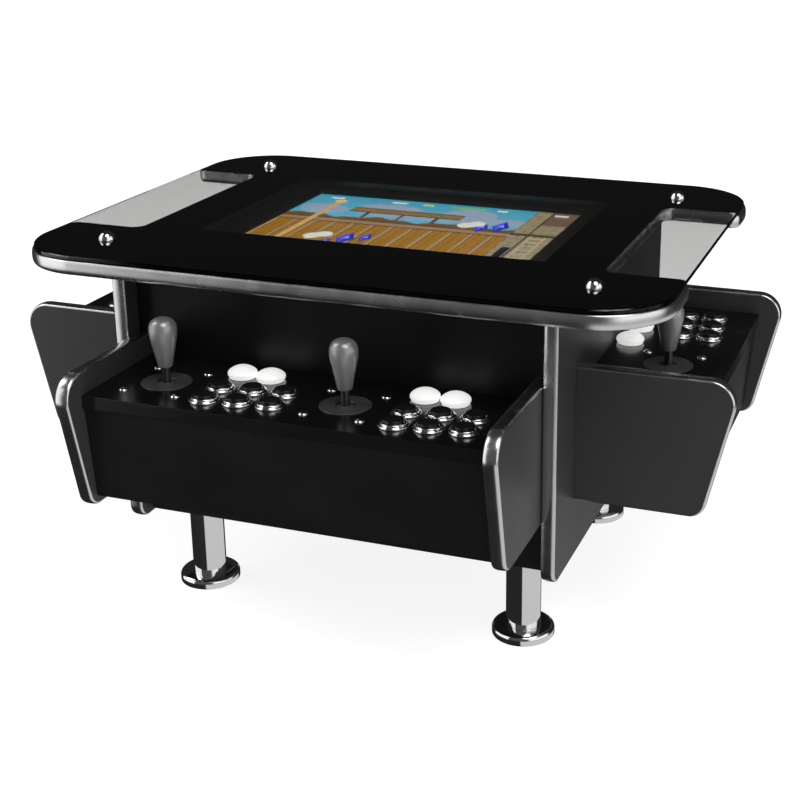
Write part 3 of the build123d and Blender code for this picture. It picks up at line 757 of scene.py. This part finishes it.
def push_buttons():
    barrel = [(10.5, -24.5), (13.0, -24.5), (13.75, -23.7), (13.75, 0)]
    rim = lathe("button_rim", [*barrel, (18.5, 0), *arc(18.5, 0.7, 0.7, -90, 0, 4),
                               *arc(17.7, 1.4, 1.5, 0, 80, 7), (17.2, 2.95),
                               *arc(16.9, 3.5, 0.5, 265, 180, 4), (16.35, 4.6),
                               *arc(15.0, 4.7, 1.3, 0, 90, 7), (14.4, 6.0),
                               *arc(14.4, 4.8, 1.2, 90, 180, 6), (13.2, 0.5), (10.5, 0.5)], 96, True, 30)
    collar = lathe("dome_collar", [*barrel, (17.7, 0), (17.7, 3.0), (17.3, 3.4), (10.5, 3.4)], 96, True)
    ring_nut = lathe("ring_nut", [(13.85, -25), (16.2, -25), (17, -24.2), (17, -18.8), (16.2, -18),
                                  (13.85, -18)], 48, True)
    plunger = lathe("plunger", [(0, -20), (9.4, -20), (10, -19.4), (10, 4.5), (12.7, 4.5), (12.7, 8.0),
                                *arc(11.9, 8.3, 0.8, 0, 90, 6), *curve_through([(11.4, 9.08), (8, 8.82),
                                (4, 8.6), (0, 8.52)], 4)], 96, sharp_degrees=45)
    dome = lathe("dome", [(0, -20), (9.4, -20), (10, -19.4), (10, 6.6), (18.3, 6.6), (18.3, 3.2), (19.0, 3.2),
                          (19.3, 3.5), *curve_through([(19.3, 5.2), (18.95, 6.9), (17.6, 8.7), (15.6, 10.3),
                                                       (13.0, 11.9), (10.0, 13.3), (6.5, 14.3), (3.0, 14.85),
                                                       (0.0, 15.0)], 4)], 96, sharp_degrees=45)
    first = True
    for number in STATIONS:
        for kind, count, cap, base, base_slot in (("button", BLACK_BUTTONS, plunger, rim, "chrome"),
                                                  ("dome_button", DOME_BUTTONS, dome, collar, "white_dome")):
            for k in count:
                node = f"{kind}_{number}_{k}"
                place = over(node)
                slot = "black_button" if kind == "button" else "white_dome"
                add_piece(f"{kind}_cap_{number}_{k}", cap, slot, node, place, replaces=[node])
                add_piece(f"{kind}_rim_{number}_{k}", base, base_slot, "cabinet", place,
                          replaces=["button_housings"] if first else ())
                add_piece(f"{kind}_nut_{number}_{k}", ring_nut, "black_button", "cabinet", place)
                first = False


# ---- picture on the display -----------------------------------------------------------------------
def paint_picture(columns, rows):
    """A made-up platform game scene as an array of colours, row 0 nearest the front players."""
    y, x = np.mgrid[0:rows, 0:columns]
    u, v = x / columns, y / rows
    picture = np.empty((rows, columns, 3))
    picture[:] = (0.32, 0.62, 0.72)
    picture += (v[..., None] - 0.8) * -0.15

    def fill(mask, colour):
        picture[mask] = colour

    def area(left, right, low, high):
        return (u >= left) & (u < right) & (v >= low) & (v < high)

    for cu, cv, ru, rv in ((0.10, 0.72, 0.09, 0.09), (0.33, 0.83, 0.12, 0.06), (0.63, 0.80, 0.10, 0.12),
                           (0.78, 0.72, 0.08, 0.07), (0.45, 0.68, 0.22, 0.05)):
        fill((((u - cu) / ru) ** 2 + ((v - cv) / rv) ** 2 < 1), (0.55, 0.62, 0.70))
    skyline = 0.60 + 0.03 * np.round(2 * np.sin(u * 23) + np.sin(u * 61)) / 3
    fill((v < skyline) & (v > 0.5), (0.42, 0.29, 0.12))
    fill(area(0.20, 0.62, 0.70, 0.79), (0.52, 0.43, 0.27))
    fill(area(0.20, 0.62, 0.70, 0.715) | area(0.20, 0.62, 0.775, 0.79), (0.30, 0.22, 0.13))
    fill(area(0.20, 0.62, 0.715, 0.775) & ((x + 2 * y) % 11 == 0), (0.40, 0.33, 0.20))
    for post in (0.27, 0.40, 0.53):
        fill(area(post, post + 0.012, 0.60, 0.70), (0.34, 0.25, 0.15))
    fill(area(0, 0.86, 0, 0.56), (0.62, 0.44, 0.12))
    fill(area(0, 0.86, 0, 0.50) & ((x // 3 + y // 2) % 3 == 0), (0.50, 0.33, 0.07))
    fill(area(0, 0.86, 0, 0.50) & (x % 9 == 0) & (y % 7 < 3), (0.25, 0.16, 0.05))
    fill(area(0, 0.86, 0.53, 0.56) | area(0, 0.86, 0.47, 0.485), (0.36, 0.26, 0.17))
    fill(area(0, 0.86, 0.485, 0.53), (0.58, 0.47, 0.35))
    fill(area(0, 0.86, 0, 0.47) & (x % 19 < 3), (0.62, 0.53, 0.40))
    fill(area(0, 0.86, 0, 0.47) & (x % 19 == 3), (0.30, 0.22, 0.12))
    fill(area(0.84, 1.01, 0, 1.01), (0.56, 0.52, 0.41))
    joints = (y % 12 == 0) | ((x + 8 * (y // 12 % 2)) % 16 == 0)
    fill(area(0.84, 1.01, 0, 1.01) & joints, (0.36, 0.33, 0.25))
    fill(area(0.90, 1.01, 0.74, 1.01), (0.40, 0.33, 0.27))
    fill(area(0.84, 1.01, 0.52, 0.56) | area(0.895, 0.903, 0.0, 1.01), (0.26, 0.21, 0.16))
    fill(area(0.862, 0.892, 0.06, 0.30), (0.06, 0.05, 0.04))
    for rung in range(7):
        fill(area(0.915, 0.965, 0.05 + 0.07 * rung, 0.07 + 0.07 * rung), (0.68, 0.62, 0.52))
    fill(area(0.912, 0.920, 0.0, 0.52) | area(0.960, 0.968, 0.0, 0.52), (0.68, 0.62, 0.52))
    fill(area(0.105, 0.125, 0.0, 0.86), (0.76, 0.62, 0.42))
    fill(((u - 0.115) / 0.022) ** 2 + ((v - 0.88) / 0.032) ** 2 < 1, (0.85, 0.72, 0.52))
    for cu, cv, size in ((0.34, 0.20, 1.0), (0.40, 0.24, 0.7), (0.72, 0.60, 0.8), (0.78, 0.64, 1.0),
                         (0.29, 0.12, 0.6)):
        gem = np.abs(u - cu) / (0.030 * size) + np.abs(v - cv) / (0.11 * size)
        fill(gem < 1, (0.13, 0.12, 0.62))
        fill((gem < 0.8) & (u < cu), (0.28, 0.30, 0.86))
        fill((gem < 0.45) & (v > cv), (0.55, 0.58, 0.95))
    for cu, cv in ((0.66, 0.62), (0.69, 0.66), (0.25, 0.24), (0.22, 0.20)):
        fill(((u - cu) / 0.03) ** 2 + ((v - cv) / 0.05) ** 2 < 1, (0.82, 0.84, 0.80))
    for left, right, colour in ((0.06, 0.11, (0.9, 0.9, 0.88)), (0.30, 0.36, (0.9, 0.9, 0.88)),
                                (0.42, 0.46, (0.85, 0.85, 0.3)), (0.53, 0.66, (0.45, 0.75, 0.35)),
                                (0.70, 0.74, (0.9, 0.9, 0.88)), (0.91, 0.96, (0.9, 0.9, 0.88))):
        fill(area(left, right, 0.925, 0.955), colour)
    picture[y % 4 == 0] *= 0.94
    return np.clip(picture, 0, 1) ** 2.2


def display_picture():
    """The lit surface of the display: one small face for each picture element."""
    low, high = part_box("monitor")
    columns, rows = round(PICTURE[0] / PIXEL), round(PICTURE[1] / PIXEL)
    centre_y = (low.y + high.y) / 2
    surface_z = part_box("monitor_bezel")[0].z - 0.1 * MM
    xs = np.linspace(-PICTURE[0] / 2, PICTURE[0] / 2, columns + 1) * MM
    ys = np.linspace(-PICTURE[1] / 2, PICTURE[1] / 2, rows + 1) * MM + centre_y
    points = [(a, b, surface_z) for b in ys for a in xs]
    faces = []
    for j in range(rows):
        for i in range(columns):
            k = j * (columns + 1) + i
            faces.append((k, k + 1, k + columns + 2, k + columns + 1))
    mesh = bpy.data.meshes.new("display_picture")
    mesh.from_pydata(points, [], faces)
    mesh.update()
    layer = mesh.color_attributes.new("picture", "FLOAT_COLOR", "CORNER")
    colours = np.ones((rows * columns, 4, 4), dtype=np.float32)
    colours[:, :, :3] = paint_picture(columns, rows).reshape(-1, 1, 3)
    layer.data.foreach_set("color", colours.ravel())
    add_piece("display_picture", mesh, "display", "cabinet")


table_moulding()
panel_mouldings()
cheek_mouldings()
legs()
glass_caps()
joysticks()
push_buttons()
display_picture()

# ---- looks of the CAD nodes that stay -------------------------------------------------------------
STAYING = {
    "glass_top": "glass", "tabletop_board": "black_gloss", "monitor": "display_case",
    "monitor_bezel": "bezel",
    "end_panels": "grey_laminate", "carcass_boards": "wall_gloss", "cheeks": "grey_laminate",
    "control_lids": "black_gloss", "box_boards": "wall_gloss", "game_board": "circuit_board",
    "power_unit": "steel", "joystick_mounts": "steel",
    "gimbal_1": "steel", "gimbal_2": "steel", "gimbal_3": "steel", "gimbal_4": "steel",
}
for node, material in STAYING.items():
    mesh = nodes[node].data
    mesh.materials.clear()
    mesh.materials.append(MATERIALS[material])
for node, thing in nodes.items():
    if node in STAYING or thing.hide_render:
        continue
    slot = next(s["material_slot"] for s in record["subparts"] if s["node"] == node)
    thing.data.materials.clear()
    thing.data.materials.append(MATERIALS[slot if slot in MATERIALS else "steel"])


# ---- camera ---------------------------------------------------------------------------------------
def add_camera():
    """Low three-quarter view from the front right, at the height of someone standing."""
    camera = bpy.data.objects.new("camera", bpy.data.cameras.new("camera"))
    bpy.context.scene.collection.objects.link(camera)
    camera.location = (MIDDLE.x + CAMERA_OFFSET[0], MIDDLE.y + CAMERA_OFFSET[1], CAMERA_OFFSET[2])
    camera.rotation_euler = (math.radians(CAMERA_TILT), 0, math.radians(CAMERA_TURN))
    camera.data.sensor_width = 36
    camera.data.lens = CAMERA_LENS
    camera.data.shift_x, camera.data.shift_y = CAMERA_SHIFT
    bpy.context.scene.camera = camera


# ---- light ----------------------------------------------------------------------------------------
class Studio:
    """World light made of soft patches on a dark room, in azimuth (0 = front, positive to the right) and
    elevation, in degrees."""

    def __init__(self):
        world = bpy.data.worlds.new("studio")
        world.use_nodes = True
        bpy.context.scene.world = world
        self.tree = world.node_tree
        self.direction = self.tree.nodes.new("ShaderNodeTexCoord").outputs["Generated"]
        self.total = None

    def value(self, operation, *inputs):
        made = self.tree.nodes.new("ShaderNodeMath")
        made.operation = operation
        for socket, value in zip(made.inputs, inputs):
            if isinstance(value, (int, float)):
                socket.default_value = value
            else:
                self.tree.links.new(value, socket)
        return made.outputs["Value"]

    def ramp(self, source, start, end, low=0.0, high=1.0):
        made = self.tree.nodes.new("ShaderNodeMapRange")
        made.interpolation_type = "SMOOTHSTEP"
        for key, number in (("From Min", start), ("From Max", end), ("To Min", low), ("To Max", high)):
            made.inputs[key].default_value = number
        self.tree.links.new(source, made.inputs["Value"])
        return made.outputs["Result"]

    def angles(self):
        parts = self.tree.nodes.new("ShaderNodeSeparateXYZ")
        self.tree.links.new(self.direction, parts.inputs[0])
        x, y, z = parts.outputs
        front = self.value("MULTIPLY", y, -1.0)
        azimuth = self.value("MULTIPLY", self.value("ARCTAN2", x, front), 180 / math.pi)
        elevation = self.value("MULTIPLY", self.value("ARCSINE", z), 180 / math.pi)
        return azimuth, elevation

    def add(self, light):
        self.total = light if self.total is None else self.value("ADD", self.total, light)

    def panel(self, left, right, low, high, strength, soft=3.0):
        """Soft-edged rectangle between two azimuths and two elevations."""
        azimuth, elevation = self.angles()
        sides = self.value("MULTIPLY", self.ramp(azimuth, left - soft, left + soft),
                           self.ramp(azimuth, right - soft, right + soft, 1.0, 0.0))
        ends = self.value("MULTIPLY", self.ramp(elevation, low - soft, low + soft),
                          self.ramp(elevation, high - soft, high + soft, 1.0, 0.0))
        self.add(self.value("MULTIPLY", self.value("MULTIPLY", sides, ends), strength))

    def lamp(self, azimuth, elevation, radius, strength, soft=3.0):
        """Round patch."""
        a, e = math.radians(azimuth), math.radians(elevation)
        aim = (math.sin(a) * math.cos(e), -math.cos(a) * math.cos(e), math.sin(e))
        dot = self.tree.nodes.new("ShaderNodeVectorMath")
        dot.operation = "DOT_PRODUCT"
        dot.inputs[1].default_value = aim
        self.tree.links.new(self.direction, dot.inputs[0])
        spread = self.ramp(dot.outputs["Value"], math.cos(math.radians(radius + soft)),
                           math.cos(math.radians(max(radius - soft, 0.1))))
        self.add(self.value("MULTIPLY", spread, strength))

    def finish(self, base, seen):
        """The dark room's own level, and the pale level that the camera sees past the floor."""
        nodes = self.tree.nodes
        self.add(base)
        background = nodes["Background"]
        path = nodes.new("ShaderNodeLightPath")
        mix = nodes.new("ShaderNodeMix")
        self.tree.links.new(path.outputs["Is Camera Ray"], mix.inputs["Factor"])
        self.tree.links.new(self.total, mix.inputs["A"])
        mix.inputs["B"].default_value = seen
        self.tree.links.new(mix.outputs["Result"], background.inputs["Strength"])
        background.inputs["Color"].default_value = (1.0, 0.995, 0.985, 1)


def add_light():
    studio = Studio()
    studio.panel(-95, -35, -21, 38, 1.1)
    studio.panel(8, 165, -88, -22, 0.6, 2.0)
    studio.panel(38, 115, -16, 34, 1.0, 9.0)
    studio.panel(-30, 70, -18, 60, 0.06, 12.0)
    studio.lamp(50, 60, 16, 4.0, 9.0)
    studio.lamp(-80, 44, 12, 4.0)
    studio.finish(0.02, 1.0)


def add_floor():
    """Pale floor, large enough to fill the view; it is left out of mirror reflections."""
    size = 30.0
    mesh = bpy.data.meshes.new("floor")
    corners = [(-size, -size, 0), (size, -size, 0), (size, size, 0), (-size, size, 0)]
    mesh.from_pydata(corners, [], [(0, 1, 2, 3)])
    floor = bpy.data.objects.new("floor", mesh)
    bpy.context.scene.collection.objects.link(floor)
    g = Graph("pale_floor")
    g.colour(g.colours(g.noise(3, 3), (0.50, 0.50, 0.50), (0.53, 0.53, 0.53)))
    g.rough(g.spread(g.noise(6, 3), 0.75, 0.9))
    g.set(Emission_Color=(1, 1, 1, 1), Emission_Strength=0.86)
    mesh.materials.append(g.material)
    floor.visible_glossy = False


add_camera()
add_light()
add_floor()
bpy.context.scene.view_settings.view_transform = "Standard"
